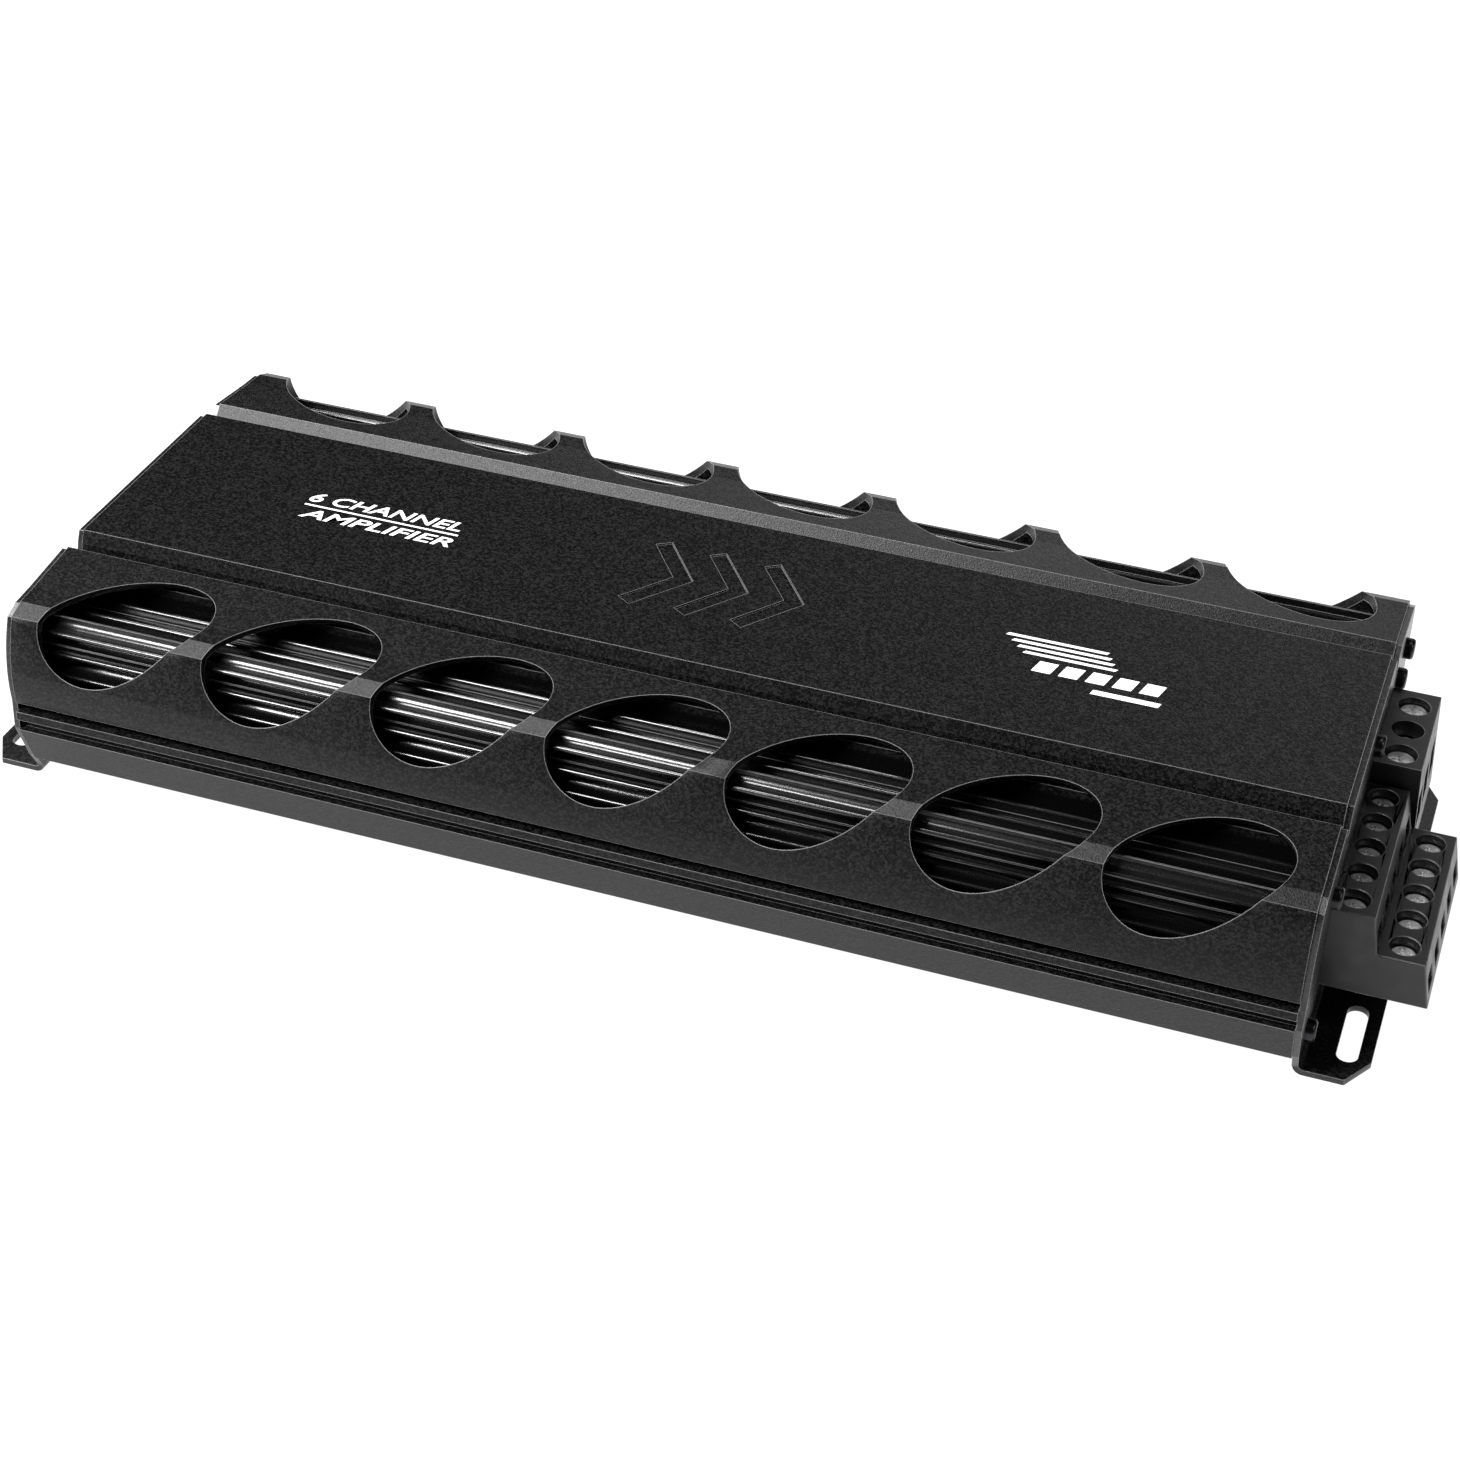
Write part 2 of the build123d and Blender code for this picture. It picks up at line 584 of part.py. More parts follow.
def pressure_plate(kind, x, y, top, lift):
    high = top - kind.seat + 0.1 + lift - screw_length(kind)
    half = kind.pad[0]
    plate = block(x - half, x + half, y - half, y + half, high - kind.pad[1], high)
    return plate - rod_z(x, y, high - 3, high + 3, TIP_PIN + RUNNING_FIT)


SPEAKER_UPPER = [(BODY_X1 + UPPER_HOLE_OUT, SPEAKER_Y0 - SPEAKER_PITCH * pole, UPPER_TOP)
                 for pole in range(SPEAKER_POLES)]
SPEAKER_LOWER = [(BODY_X1 + LOWER_HOLE_OUT, SPEAKER_Y0 - SPEAKER_PITCH * pole, LOWER_TOP)
                 for pole in range(SPEAKER_POLES)]
POWER_POLES = [(BODY_X1 + POWER_HOLE_OUT, POWER_Y0 - POWER_PITCH * pole, POWER_TOP) for pole in range(3)]
POWER_LIFT = (3.6, 0.8, 3.6)


def sloped_block(profile, y0, y1):
    face = make_face(Polyline(*[(x, y0, z) for x, z in profile], close=True))
    return extrude(face, amount=y1 - y0, dir=(0, 1, 0))


def speaker_terminal_block():
    inner = BODY_X1 - BLOCK_INSET
    upper = BODY_X1 + UPPER_OUT
    lower = BODY_X1 + LOWER_OUT
    step = (UPPER_TOP - LOWER_TOP) * FACE_SLOPE
    base = (LOWER_TOP - BOARD_TOP) * FACE_SLOPE
    profile = [(inner, BOARD_TOP), (lower + base, BOARD_TOP), (lower, LOWER_TOP), (upper + step, LOWER_TOP),
               (upper, UPPER_TOP), (inner, UPPER_TOP)]
    body = sloped_block(profile, *SPEAKER_Y)
    tools = [terminal_chamber(SPEAKER, x, y, top, upper) for x, y, top in SPEAKER_UPPER]
    tools += [terminal_chamber(SPEAKER, x, y, top, lower) for x, y, top in SPEAKER_LOWER]
    return cut_all(body, tools)


def power_terminal_block():
    inner = BODY_X1 - BLOCK_INSET
    front = BODY_X1 + POWER_OUT
    base = (POWER_TOP - POWER_BOTTOM) * 0.06
    profile = [(inner, POWER_BOTTOM), (front + base, POWER_BOTTOM), (front, POWER_TOP), (inner, POWER_TOP)]
    body = sloped_block(profile, *POWER_Y)
    return cut_all(body, [terminal_chamber(POWER, x, y, top, front) for x, y, top in POWER_POLES])


def build_terminals():
    speaker_poles = SPEAKER_UPPER + SPEAKER_LOWER
    boxes = [contact_box(SPEAKER, *pole) for pole in speaker_poles]
    boxes += [contact_box(POWER, *pole) for pole in POWER_POLES]
    save("terminal_contacts", Compound(children=boxes))
    for index, pole in enumerate(speaker_poles, 1):
        save(f"speaker_screw_{index}", terminal_screw(SPEAKER, *pole, 0.0))
        save(f"speaker_pad_{index}", pressure_plate(SPEAKER, *pole, 0.0))
    for index, (pole, lift) in enumerate(zip(POWER_POLES, POWER_LIFT), 1):
        save(f"power_screw_{index}", terminal_screw(POWER, *pole, lift))
        save(f"power_pad_{index}", pressure_plate(POWER, *pole, lift))


# ---- input end ----------------------------------------------------------------------------------------
def jack_housings():
    """Moulded housings behind the plate, one for each stacked pair of jacks."""
    housings = []
    for y in JACK_Y:
        body = block(BODY_X0 + 0.2, BODY_X0 + 11.0, y - 5.5, y + 5.5, BOARD_TOP, JACK_Z[1] + 6.0)
        for z in JACK_Z:
            body = body + rod_x(BODY_X0 - SHEET - 0.8, BODY_X0 + 1, y, z, JACK_RADIUS + 0.3)
            body = body - rod_x(BODY_X0 - 6, BODY_X0 + 6, y, z, 2.8)
        housings.append(body)
    return Compound(children=housings)


def jack_barrels():
    barrels = []
    start = BODY_X0 - SHEET - 0.8
    for y in JACK_Y:
        for z in JACK_Z:
            barrel = rod_x(start - JACK_LENGTH, start, y, z, JACK_RADIUS)
            barrels.append(barrel - rod_x(start - JACK_LENGTH - 1, start + 1, y, z, 3.3))
    return Compound(children=barrels)


def jack_inserts():
    """Insulating sleeve of each jack with the bore for the plug's centre pin."""
    sleeves = []
    start = BODY_X0 - SHEET - 0.8
    for y in JACK_Y:
        for z in JACK_Z:
            sleeve = rod_x(start - JACK_LENGTH + 1.0, start, y, z, 3.3) + rod_x(start, BODY_X0 + 6, y, z, 2.8)
            sleeves.append(sleeve - rod_x(start - JACK_LENGTH - 1, BODY_X0 + 3, y, z, 1.6))
    return Compound(children=sleeves)


def control_bodies():
    """Potentiometer cases behind the plate, each with its bearing for the knob's shaft."""
    cases = []
    for y in KNOB_Y:
        for z in (GAIN_Z, CROSSOVER_Z):
            case = block(BODY_X0 + 0.3, BODY_X0 + 7.0, y - 4.8, y + 4.8, z - 4.8, z + 4.8)
            cases.append(case - rod_x(BODY_X0 - 1, BODY_X0 + 5.0, y, z, SHAFT_RADIUS + RUNNING_FIT))
    return Compound(children=cases)


def knob(y, z):
    """Fluted knob with a pointer slot and a round shaft, on an axis along X."""
    back = BODY_X0 - SHEET - 0.6
    body = rod_x(back - KNOB_LENGTH, back, y, z, KNOB_RADIUS)
    rim = body.edges().filter_by(GeomType.CIRCLE).sort_by(Axis.X)[0]
    body = fillet(rim, 0.5)
    reach = KNOB_RADIUS + 0.25
    for index in range(FLUTES):
        angle = 2 * pi * index / FLUTES
        centre = (y + reach * cos(angle), z + reach * sin(angle))
        body = body - rod_x(back - KNOB_LENGTH - 1, back - 1.2, *centre, 0.5)
    body = body - block(back - KNOB_LENGTH - 1, back - KNOB_LENGTH + 0.9, y - 0.5, y + 0.5, z, z + 3.0)
    return body + rod_x(back - 0.5, BODY_X0 + 4.5, y, z, SHAFT_RADIUS)


def switch_bodies():
    cases = []
    for y, z in SWITCHES:
        case = block(BODY_X0 + 0.3, BODY_X0 + 6.5, y - 6.0, y + 6.0, z - 3.6, z + 3.6)
        cases.append(case - block(BODY_X0 - 1, BODY_X0 + 3.0, y - 4.4, y + 4.4, z - 1.6, z + 1.6))
    return Compound(children=cases)


def switch_slider(y, z):
    """Slider at the front end of its travel, with three grip grooves."""
    start = y - SWITCH_TRAVEL
    tip = BODY_X0 - SHEET - 2.2
    body = block(tip, BODY_X0 + 2.6, start - 1.9, start + 1.9, z - 1.3, z + 1.3)
    for shift in (-1.0, 0.0, 1.0):
        middle = start + shift
        body = body - block(tip - 1.0, tip + 0.4, middle - 0.2, middle + 0.2, z - 2, z + 2)
    return body


def indicator_lights():
    lenses = []
    for y, z in LIGHTS:
        dome = Pos(BODY_X0 - SHEET - 0.2, y, z) * Sphere(LIGHT_RADIUS)
        lenses.append(rod_x(BODY_X0 - SHEET - 0.2, BODY_X0 + 4.0, y, z, LIGHT_RADIUS) + dome)
    return Compound(children=lenses)


def build_input_end():
    save("jack_housings", jack_housings())
    save("jack_barrels", jack_barrels())
    save("jack_inserts", jack_inserts())
    save("control_bodies", control_bodies())
    save("switch_bodies", switch_bodies())
    save("indicator_lights", indicator_lights())
    for index, y in enumerate(KNOB_Y, 1):
        save(f"gain_knob_{index}", knob(y, GAIN_Z))
        save(f"crossover_knob_{index}", knob(y, CROSSOVER_Z))
    for index, (y, z) in enumerate(SWITCHES, 1):
        save(f"mode_switch_{index}", switch_slider(y, z))


save("heatsink", heatsink())
save("front_cowl", cowl(-1))
save("rear_cowl", cowl(1))
save("output_end_plate", output_end_plate())
save("input_end_plate", input_end_plate())
save("plate_screws", Compound(children=plate_screws(1) + plate_screws(-1)))
save("bottom_cover", bottom_cover())
save("cover_screws", cover_screws())
save("board_standoffs", standoffs())
save("board_screws", board_screws())
save("circuit_board", circuit_board())
save("transistors", transistors())
save("transistor_clamp_bars", clamp_bars())
save("toroid_transformer", transformer())
save("filter_capacitors", capacitors())
save("output_inductors", inductors())
save("speaker_terminal_block", speaker_terminal_block())
save("power_terminal_block", power_terminal_block())
build_terminals()
build_input_end()
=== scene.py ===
# Looks of the car amplifier: paint, plastic, plated screws and print, with studio floor, light and camera.
# Lengths are in metres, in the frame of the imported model.
import json
from math import radians

import bmesh
import bpy
from mathutils import Matrix, Vector


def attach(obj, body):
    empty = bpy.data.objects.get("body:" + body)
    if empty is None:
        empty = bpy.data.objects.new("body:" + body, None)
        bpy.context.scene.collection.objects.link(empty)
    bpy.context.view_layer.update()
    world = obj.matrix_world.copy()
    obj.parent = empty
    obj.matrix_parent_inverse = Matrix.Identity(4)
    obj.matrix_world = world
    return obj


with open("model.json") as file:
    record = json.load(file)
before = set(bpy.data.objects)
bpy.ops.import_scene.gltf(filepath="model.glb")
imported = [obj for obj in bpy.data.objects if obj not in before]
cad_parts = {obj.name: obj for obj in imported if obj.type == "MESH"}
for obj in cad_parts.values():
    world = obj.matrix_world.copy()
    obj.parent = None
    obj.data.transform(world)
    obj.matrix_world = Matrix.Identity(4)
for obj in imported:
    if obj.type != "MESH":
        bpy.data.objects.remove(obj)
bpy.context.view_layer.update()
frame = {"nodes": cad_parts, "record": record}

MM = 0.001

# raised top panel of the heat sink
PANEL_Z = 57.7 * MM

# camera at the photograph's viewing angle
CAMERA_AT = Vector((0.1941, -0.6217, 0.4555))
CAMERA_FORWARD = Vector((-0.2496, 0.7905, -0.5593))
CAMERA_UP = Vector((-0.2103, 0.5195, 0.8282))
CAMERA_LENS = 73.7

# black powder paint of the aluminium and steel pieces
PAINT = (0.006, 0.006, 0.0063)
PAINT_SPECULAR = 0.15
PAINT_GRAIN = 0.5 * MM
PAINT_BUMP = 0.03 * MM

# heights between which the heat sink's paint changes from grainy to smooth and back
FINS_BEGIN = (29.0 * MM, 30.0 * MM)
FINS_END = (49.5 * MM, 50.5 * MM)

# painted highlight: lighter colour along sharp edges, standing in for light caught by their roundings; a
# rounded normal that turns past the cosines counts as an edge
EDGE_WIDTH = 0.3 * MM
EDGE_HIGHLIGHT_COLOUR = (0.17, 0.17, 0.17)
FLAT_COSINE = 0.995
EDGE_COSINE = 0.93

MOULD_GRAIN = 0.25 * MM
MOULD_BUMP = 0.012 * MM
MOULD_VARIATION = 0.25
TOOL_MARKS = 0.15 * MM
PLATING_DULLNESS = 0.12


# ---- small node helpers -------------------------------------------------------------------------------
class Shader:
    """One material's node tree around a Principled BSDF, with short calls for the usual nodes."""

    def __init__(self, name, colour, roughness, metallic=0.0, specular=0.5):
        self.material = bpy.data.materials.new(name)
        self.material.use_nodes = True
        self.tree = self.material.node_tree
        self.surface = self.tree.nodes["Principled BSDF"]
        self.surface.inputs["Base Color"].default_value = (*colour, 1.0)
        self.surface.inputs["Roughness"].default_value = roughness
        self.surface.inputs["Metallic"].default_value = metallic
        self.surface.inputs["Specular IOR Level"].default_value = specular
        self.place = self.tree.nodes.new("ShaderNodeTexCoord").outputs["Object"]
        self.normal = None

    def node(self, kind, **values):
        made = self.tree.nodes.new(kind)
        for key, value in values.items():
            setattr(made, key, value)
        return made

    def link(self, source, target):
        self.tree.links.new(source, target)

    def noise(self, size, detail=2.0, stretch=(1, 1, 1)):
        """Noise with features of about the given size in metres."""
        where = self.node("ShaderNodeMapping")
        where.inputs["Scale"].default_value = stretch
        self.link(self.place, where.inputs["Vector"])
        made = self.node("ShaderNodeTexNoise")
        made.inputs["Scale"].default_value = 1.0 / size
        made.inputs["Detail"].default_value = detail
        self.link(where.outputs["Vector"], made.inputs["Vector"])
        return made.outputs["Fac"]

    def grains(self, size):
        """Cells of the given size, each with its own random grey."""
        made = self.node("ShaderNodeTexVoronoi")
        made.inputs["Scale"].default_value = 1.0 / size
        self.link(self.place, made.inputs["Vector"])
        grey = self.node("ShaderNodeSeparateColor")
        self.link(made.outputs["Color"], grey.inputs["Color"])
        return grey.outputs["Red"], made.outputs["Distance"]

    def ramp(self, source, low, high, low_value, high_value):
        made = self.node("ShaderNodeMapRange")
        made.inputs["From Min"].default_value = low
        made.inputs["From Max"].default_value = high
        made.inputs["To Min"].default_value = low_value
        made.inputs["To Max"].default_value = high_value
        self.link(source, made.inputs["Value"])
        return made.outputs["Result"]

    def mix(self, factor, first, second):
        """Blend of two colours by a factor; either colour may be a socket."""
        made = self.node("ShaderNodeMix", data_type="RGBA")
        self.link(factor, made.inputs["Factor"])
        for value, socket in ((first, made.inputs["A"]), (second, made.inputs["B"])):
            if isinstance(value, bpy.types.NodeSocket):
                self.link(value, socket)
            else:
                socket.default_value = (*value, 1.0)
        return made.outputs["Result"]

    def math(self, operation, first, second):
        made = self.node("ShaderNodeMath", operation=operation)
        for value, socket in ((first, made.inputs[0]), (second, made.inputs[1])):
            if isinstance(value, bpy.types.NodeSocket):
                self.link(value, socket)
            else:
                socket.default_value = value
        return made.outputs["Value"]

    def bump(self, height, depth, strength=1.0):
        made = self.node("ShaderNodeBump")
        made.inputs["Strength"].default_value = strength
        made.inputs["Distance"].default_value = depth
        self.link(height, made.inputs["Height"])
        if self.normal is not None:
            self.link(self.normal, made.inputs["Normal"])
        self.normal = made.outputs["Normal"]
        self.link(self.normal, self.surface.inputs["Normal"])

    def painted_edge_highlight(self, socket, radius, colour):
        """Painted highlight: lighter colour along sharp edges, standing in for the light that rounded edges
        catch.
        """
        soft = self.node("ShaderNodeBevel", samples=6)
        soft.inputs["Radius"].default_value = radius
        plain = self.node("ShaderNodeNewGeometry")
        dot = self.node("ShaderNodeVectorMath", operation="DOT_PRODUCT")
        self.link(soft.outputs["Normal"], dot.inputs[0])
        self.link(plain.outputs["Normal"], dot.inputs[1])
        return self.mix(self.ramp(dot.outputs["Value"], FLAT_COSINE, EDGE_COSINE, 0.0, 1.0), socket, colour)

    def colour(self, socket):
        self.link(socket, self.surface.inputs["Base Color"])

    def roughness(self, socket):
        self.link(socket, self.surface.inputs["Roughness"])

    def height(self):
        """Height above the feet."""
        parts = self.node("ShaderNodeSeparateXYZ")
        self.link(self.place, parts.inputs["Vector"])
        return parts.outputs["Z"]


# ---- materials ----------------------------------------------------------------------------------------
def powder_coat(name, colour, roughness, grain, depth, specular):
    """Fine textured powder paint: dense bead-like bumps and slight mottling."""
    s = Shader(name, colour, roughness, specular=specular)
    shade, edge = s.grains(grain)
    mottled = s.mix(s.noise(0.02, 3.0), [c * 0.15 for c in colour], [c * 0.3 for c in colour])
    speckled = s.mix(s.ramp(shade, 0.3, 1.0, 0.0, 1.0), mottled, [c * 2.0 for c in colour])
    # sharp edges get a painted highlight: lighter colour in place of light caught by the edge
    s.colour(s.painted_edge_highlight(speckled, EDGE_WIDTH, EDGE_HIGHLIGHT_COLOUR))
    fine = s.noise(grain * 0.8, 2.0)
    s.roughness(s.ramp(fine, 0.3, 0.7, roughness + 0.06, roughness - 0.06))
    s.bump(edge, depth, 0.8)
    s.bump(fine, depth, 0.9)
    return s.material


def finned_aluminium():
    """Powder paint that is grainy on panel and flanks, and smooth and glossy on the fins between them."""
    s = Shader("finned_aluminium", PAINT, 0.33)
    high = s.ramp(s.height(), *FINS_END, 0.0, 1.0)
    low = s.ramp(s.height(), *FINS_BEGIN, 1.0, 0.0)
    coated = s.math("MAXIMUM", high, low)
    shade, edge = s.grains(PAINT_GRAIN)
    mottled = s.mix(s.noise(0.02, 3.0), (0.0008, 0.0008, 0.0009), (0.0017, 0.0017, 0.0018))
    speckle = s.math("MULTIPLY", s.ramp(shade, 0.3, 1.0, 0.0, 1.0), coated)
    speckled = s.mix(speckle, mottled, (0.012, 0.012, 0.0124))
    # sharp edges get a painted highlight: lighter colour in place of light caught by the edge
    s.colour(s.painted_edge_highlight(speckled, EDGE_WIDTH, EDGE_HIGHLIGHT_COLOUR))
    fine = s.noise(PAINT_GRAIN * 0.8, 2.0)
    rough = s.ramp(fine, 0.3, 0.7, 0.4, 0.28)
    s.roughness(s.math("MULTIPLY", rough, s.ramp(coated, 0.0, 1.0, 0.7, 1.0)))
    s.link(s.ramp(coated, 0.0, 1.0, 0.9, PAINT_SPECULAR), s.surface.inputs["Specular IOR Level"])
    lines = s.noise(0.5 * MM, 2.0, stretch=(0.02, 1, 1))
    s.bump(lines, 0.01 * MM, 0.6)
    s.bump(s.math("MULTIPLY", edge, coated), PAINT_BUMP, 0.8)
    s.bump(s.math("MULTIPLY", fine, s.ramp(coated, 0.0, 1.0, 0.15, 1.0)), PAINT_BUMP, 0.9)
    return s.material


def moulded(name, colour, roughness, edges=False):
    """Injection-moulded plastic with a fine spark-eroded grain and faint flow marks."""
    s = Shader(name, colour, roughness)
    low = [c * (1 - MOULD_VARIATION) for c in colour]
    high = [min(1.0, c * (1 + MOULD_VARIATION)) for c in colour]
    clouded = s.mix(s.noise(0.006, 3.0), low, high)
    # with edges set, sharp edges get a painted highlight: lighter colour in place of light caught by the
    # edge
    s.colour(s.painted_edge_highlight(clouded, EDGE_WIDTH, EDGE_HIGHLIGHT_COLOUR) if edges else clouded)
    s.roughness(s.ramp(s.noise(0.004, 4.0), 0.3, 0.7, roughness - 0.06, roughness + 0.08))
    s.bump(s.noise(MOULD_GRAIN, 3.0), MOULD_BUMP, 0.8)
    return s.material


def plated(name, colour, roughness):
    """Plated metal with fine tool marks and slightly duller patches."""
    s = Shader(name, colour, roughness, metallic=1.0)
    dark = [c * (1 - PLATING_DULLNESS) for c in colour]
    s.colour(s.mix(s.noise(0.0015, 4.0), dark, colour))
    s.roughness(s.ramp(s.noise(0.0008, 4.0), 0.25, 0.75, roughness - 0.05, roughness + 0.12))
    s.bump(s.noise(TOOL_MARKS, 2.0, stretch=(1, 1, 8)), 0.004 * MM, 0.6)
    return s.material


def solder_mask():
    s = Shader("solder_mask", (0.02, 0.13, 0.05), 0.3)
    traces = s.node("ShaderNodeTexBrick")
    traces.inputs["Scale"].default_value = 260.0
    traces.inputs["Mortar Size"].default_value = 0.03
    s.link(s.place, traces.inputs["Vector"])
    s.colour(s.mix(traces.outputs["Fac"], (0.015, 0.11, 0.04), (0.05, 0.25, 0.1)))
    s.bump(traces.outputs["Fac"], 0.03 * MM, 0.5)
    return s.material


def wound_copper():
    s = Shader("wound_copper", (0.6, 0.25, 0.09), 0.28, metallic=0.8)
    turns = s.node("ShaderNodeTexWave", bands_direction="DIAGONAL")
    turns.inputs["Scale"].default_value = 400.0
    s.link(s.place, turns.inputs["Vector"])
    s.colour(s.mix(turns.outputs["Fac"], (0.3, 0.1, 0.03), (0.7, 0.32, 0.13)))
    s.bump(turns.outputs["Fac"], 0.3 * MM, 0.8)
    return s.material


def lens():
    s = Shader("lens", (0.1, 0.55, 0.16), 0.12)
    s.colour(s.mix(s.noise(0.001, 2.0), (0.06, 0.45, 0.12), (0.16, 0.7, 0.22)))
    s.surface.inputs["Transmission Weight"].default_value = 0.5
    s.bump(s.noise(0.3 * MM), 0.004 * MM, 0.4)
    return s.material


def screen_print():
    """White ink of slightly uneven tone and thickness."""
    s = Shader("screen_print", (0.8, 0.8, 0.8), 0.5)
    s.colour(s.mix(s.noise(0.3 * MM, 3.0), (0.62, 0.62, 0.62), (0.92, 0.92, 0.92)))
    s.bump(s.noise(0.4 * MM, 2.0), 0.01 * MM, 0.6)
    return s.material


def make_materials():
    return {
        "black_aluminium": powder_coat("cowl_paint", PAINT, 0.34, PAINT_GRAIN, PAINT_BUMP, PAINT_SPECULAR),
        "black_steel": powder_coat("steel_paint", PAINT, 0.3, 0.6 * MM, 0.01 * MM, 0.5),
        "black_screw": plated("black_oxide", (0.045, 0.045, 0.048), 0.3),
        "plain_steel": plated("zinc_plate", (0.55, 0.55, 0.57), 0.32),
        "bright_screw": plated("bright_nickel", (0.85, 0.85, 0.85), 0.36),
        "nickel_brass": plated("plated_brass", (0.74, 0.63, 0.4), 0.2),
        "terminal_plastic": moulded("terminal_black", (0.005, 0.005, 0.0052), 0.38, edges=True),
        "knob_plastic": moulded("knob_black", (0.018, 0.018, 0.018), 0.4),
        "switch_plastic": moulded("switch_white", (0.62, 0.62, 0.6), 0.4),
        "jack_insulator": moulded("jack_white", (0.75, 0.74, 0.7), 0.25),
        "circuit_board": solder_mask(),
        "component_plastic": moulded("epoxy", (0.02, 0.02, 0.02), 0.45),
        "copper_wire": wound_copper(),
        "capacitor_sleeve": moulded("sleeve", (0.015, 0.02, 0.06), 0.2),
        "ferrite": moulded("ferrite", (0.06, 0.06, 0.05), 0.5),
        "indicator_lens": lens(),
    }


def dress_nodes(materials):
    """Every CAD node takes the material of its slot in the record; the heat sink has one of its own."""
    for entry in frame["record"]["subparts"]:
        node = frame["nodes"][entry["node"]]
        node.data.materials.clear()
        node.data.materials.append(materials[entry["material_slot"]])
    frame["nodes"]["heatsink"].data.materials[0] = finned_aluminium()


# ---- rounded edges ------------------------------------------------------------------------------------
ROUNDING = 0.4 * MM
SHARP_ANGLE = radians(14)
FLAT_ANGLE = radians(1.0)
WELD_DISTANCE = 0.01 * MM
ROUNDED_NODES = ("heatsink", "front_cowl", "rear_cowl", "output_end_plate", "input_end_plate",
                 "speaker_terminal_block", "power_terminal_block")
# the bevel would fill openings of this block if its flat faces were merged first
UNMERGED_NODES = ("speaker_terminal_block",)


def round_edges():
    """Small radii along the sharp edges, as extruded, folded and moulded pieces have."""
    for name in ROUNDED_NODES:
        node = frame["nodes"][name]
        weld = node.modifiers.new("weld", "WELD")
        weld.merge_threshold = WELD_DISTANCE
        if name not in UNMERGED_NODES:
            flat = node.modifiers.new("flat", "DECIMATE")
            flat.decimate_type = "DISSOLVE"
            flat.angle_limit = FLAT_ANGLE
        bevel = node.modifiers.new("bevel", "BEVEL")
        bevel.width = ROUNDING
        bevel.segments = 2
        bevel.limit_method = "ANGLE"
        bevel.angle_limit = SHARP_ANGLE
        bevel.use_clamp_overlap = True
        bevel.miter_outer = "MITER_ARC"


# ---- print on the top panel ---------------------------------------------------------------------------
INK = 0.01 * MM

# ends of the label, in millimetres along X
LABEL_LEFT = -123.0
LABEL_RIGHT = -79.5

THIN_STRIPES = 4
BOLD_BLOCKS = 5


def on_panel(name, build, material):
    """A thin printed piece on the panel. build adds flat faces, in millimetres, to a bmesh."""
    mesh = bpy.data.meshes.new(name)
    shape = bmesh.new()
    build(shape)
    bmesh.ops.scale(shape, vec=(MM, MM, MM), verts=shape.verts)
    bottom = list(shape.faces)
    made = bmesh.ops.extrude_face_region(shape, geom=bottom)
    raised = [v for v in made["geom"] if isinstance(v, bmesh.types.BMVert)]
    bmesh.ops.translate(shape, vec=(0, 0, INK), verts=raised)
    bmesh.ops.recalc_face_normals(shape, faces=shape.faces)
    shape.to_mesh(mesh)
    shape.free()
    piece = bpy.data.objects.new(name, mesh)
    bpy.context.collection.objects.link(piece)
    mesh.materials.append(material)
    piece.location = (0, 0, PANEL_Z)
    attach(piece, "chassis")


def strip(shape, x0, x1, y0, y1, slant=0.0):
    """Parallelogram from x0 to x1 and y0 to y1, leaning by slant at its top."""
    corners = ((x0, y0), (x1, y0), (x1 + slant, y1), (x0 + slant, y1))
    shape.faces.new([shape.verts.new((x, y, 0)) for x, y in corners])


def printed_words(name, words, x0, x1, y0, y1, material):
    """Plain capital letters printed on the panel, filling the given box in millimetres."""
    curve = bpy.data.curves.new(name + "_curve", "FONT")
    curve.body = words
    curve.size = 10 * MM
    curve.shear = 0.25
    curve.extrude = INK / 2
    curve.offset = 0.15 * MM
    text = bpy.data.objects.new(name + "_text", curve)
    bpy.context.collection.objects.link(text)
    bpy.context.view_layer.update()
    mesh = bpy.data.meshes.new_from_object(text.evaluated_get(bpy.context.evaluated_depsgraph_get()))
    bpy.data.objects.remove(text)
    piece = bpy.data.objects.new(name, mesh)
    bpy.context.collection.objects.link(piece)
    mesh.materials.clear()
    mesh.materials.append(material)
    low = [min(v.co[axis] for v in mesh.vertices) for axis in (0, 1)]
    high = [max(v.co[axis] for v in mesh.vertices) for axis in (0, 1)]
    mesh.transform(Matrix.Translation((-low[0], -low[1], 0)))
    wide = (x1 - x0) * MM / (high[0] - low[0])
    tall = (y1 - y0) * MM / (high[1] - low[1])
    mesh.transform(Matrix.Diagonal((wide, tall, 1.0, 1.0)))
    piece.location = (x0 * MM, y0 * MM, PANEL_Z + INK / 2)
    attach(piece, "chassis")


def make_label(ink):
    """Two rows of plain words with a rule between them."""
    printed_words("print_title", "6 CHANNEL", LABEL_LEFT, LABEL_RIGHT, 1.5, 6.2, ink)
    printed_words("print_subtitle", "AMPLIFIER", LABEL_LEFT + 1.0, LABEL_RIGHT + 0.5, -6.8, -2.3, ink)
    on_panel("print_rule", lambda shape: strip(shape, LABEL_LEFT, LABEL_RIGHT + 0.5, -0.7, 0.0), ink)


def make_mark(ink):
    """Plain stripes of three weights, as decoration."""
    def thin(shape):
        for index in range(THIN_STRIPES):
            y = 8.6 - 2.3 * index
            strip(shape, 67.0 + 2.0 * index, 93.0 + 1.2 * index, y - 1.1, y, 0.6)

    def bold(shape):
        for index in range(BOLD_BLOCKS):
            strip(shape, 77.0 + 6.8 * index, 81.8 + 6.8 * index, -6.6, -1.6, 1.2)

    on_panel("print_stripes", thin, ink)
    on_panel("print_blocks", bold, ink)
    on_panel("print_underline", lambda shape: strip(shape, 93.0, 110.0, -11.4, -9.4, 0.5), ink)


def make_print():
    ink = screen_print()
    make_label(ink)
    make_mark(ink)


# ---- studio -------------------------------------------------------------------------------------------
# far enough that low views don't look past the floor's end
FLOOR_REACH = 40.0


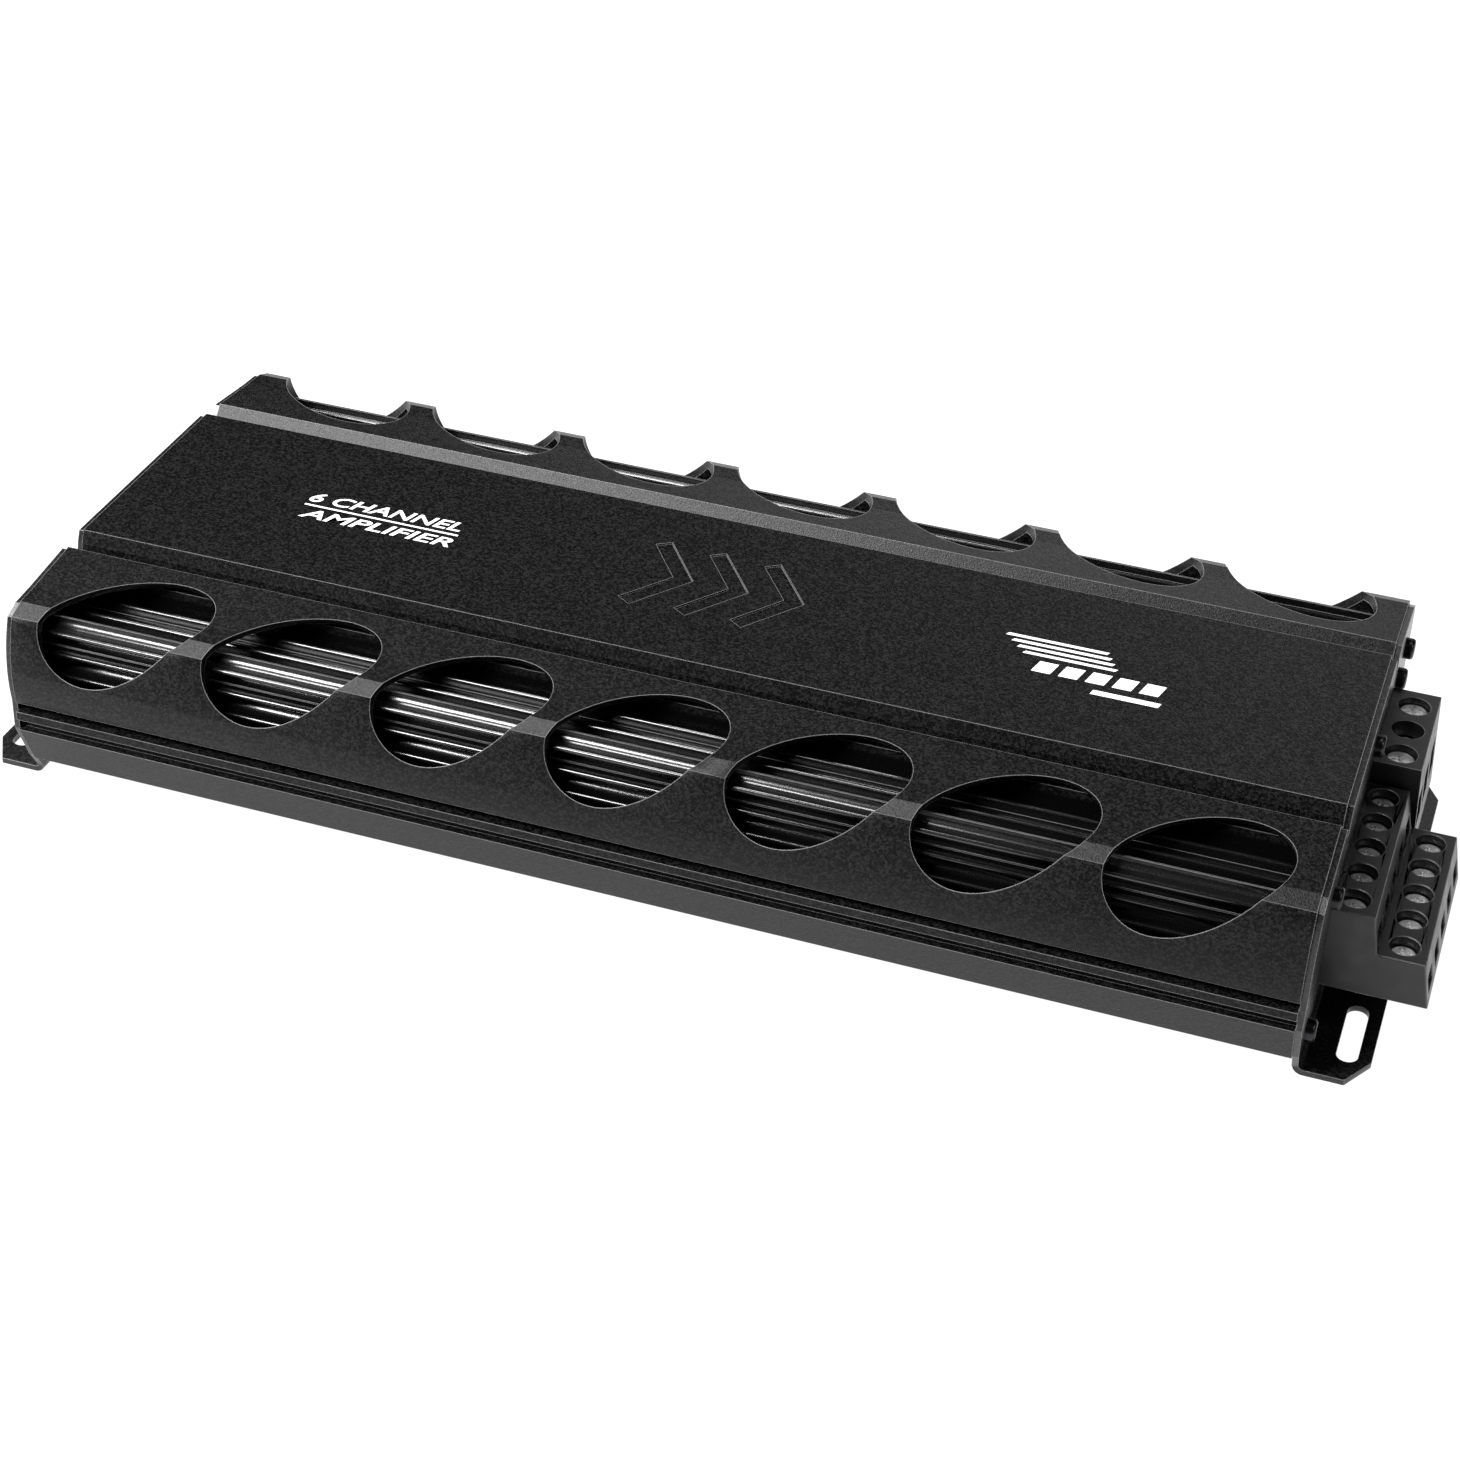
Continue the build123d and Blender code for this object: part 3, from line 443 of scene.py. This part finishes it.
def make_floor():
    """White table that glows, so that shadows on it are hardly seen."""
    mesh = bpy.data.meshes.new("floor")
    corners = [(x * FLOOR_REACH, y * FLOOR_REACH, 0) for x, y in ((-1, -1), (1, -1), (1, 1), (-1, 1))]
    mesh.from_pydata(corners, [], [(0, 1, 2, 3)])
    floor = bpy.data.objects.new("floor", mesh)
    bpy.context.collection.objects.link(floor)
    s = Shader("studio_floor", (0.13, 0.13, 0.13), 0.8, specular=0.1)
    s.colour(s.mix(s.noise(0.2, 2.0), (0.12, 0.12, 0.12), (0.14, 0.14, 0.14)))
    s.surface.inputs["Emission Color"].default_value = (1.0, 1.0, 1.0, 1.0)
    s.surface.inputs["Emission Strength"].default_value = 1.0
    mesh.materials.append(s.material)


def soft_box(name, place, aim, size, power):
    """Rectangular light whose first side runs along X as far as its aim allows."""
    light = bpy.data.lights.new(name, "AREA")
    light.shape = "RECTANGLE"
    light.size, light.size_y = size
    light.energy = power
    lamp = bpy.data.objects.new(name, light)
    back = (Vector(place) - Vector(aim)).normalized()
    side = Vector((0, 1, 0)).cross(back).normalized()
    rise = back.cross(side)
    lamp.matrix_world = Matrix.Translation(place) @ Matrix((side, rise, back)).transposed().to_4x4()
    bpy.context.collection.objects.link(lamp)


def make_lights():
    world = bpy.data.worlds.new("studio")
    bpy.context.scene.world = world
    world.use_nodes = True
    world.node_tree.nodes["Background"].inputs["Color"].default_value = (0.95, 0.97, 1.0, 1.0)
    world.node_tree.nodes["Background"].inputs["Strength"].default_value = 0.03
    soft_box("overhead", (-0.52, 0.16, 1.25), (-0.1, -0.06, 0.05), (1.1, 0.26), 21.0)
    soft_box("front_left", (-0.72, -0.8, 0.95), (-0.1, 0.04, 0.05), (1.0, 0.4), 50.0)
    soft_box("rear_low", (-0.3, 1.7, 0.36), (0, 0, 0.05), (2.4, 0.36), 3.5)
    soft_box("right", (0.9, -0.3, 1.0), (0.15, 0, 0.03), (0.4, 0.3), 3.0)


def make_camera():
    camera = bpy.data.objects.new("camera", bpy.data.cameras.new("camera"))
    bpy.context.collection.objects.link(camera)
    camera.data.sensor_width = 36.0
    camera.data.lens = CAMERA_LENS
    camera.data.clip_start = 0.01
    back = -CAMERA_FORWARD.normalized()
    side = CAMERA_UP.cross(back).normalized()
    rise = back.cross(side)
    camera.matrix_world = Matrix.Translation(CAMERA_AT) @ Matrix((side, rise, back)).transposed().to_4x4()
    bpy.context.scene.camera = camera


make_camera()
dress_nodes(make_materials())
round_edges()
make_print()
make_floor()
make_lights()
bpy.context.scene.view_settings.view_transform = "Standard"
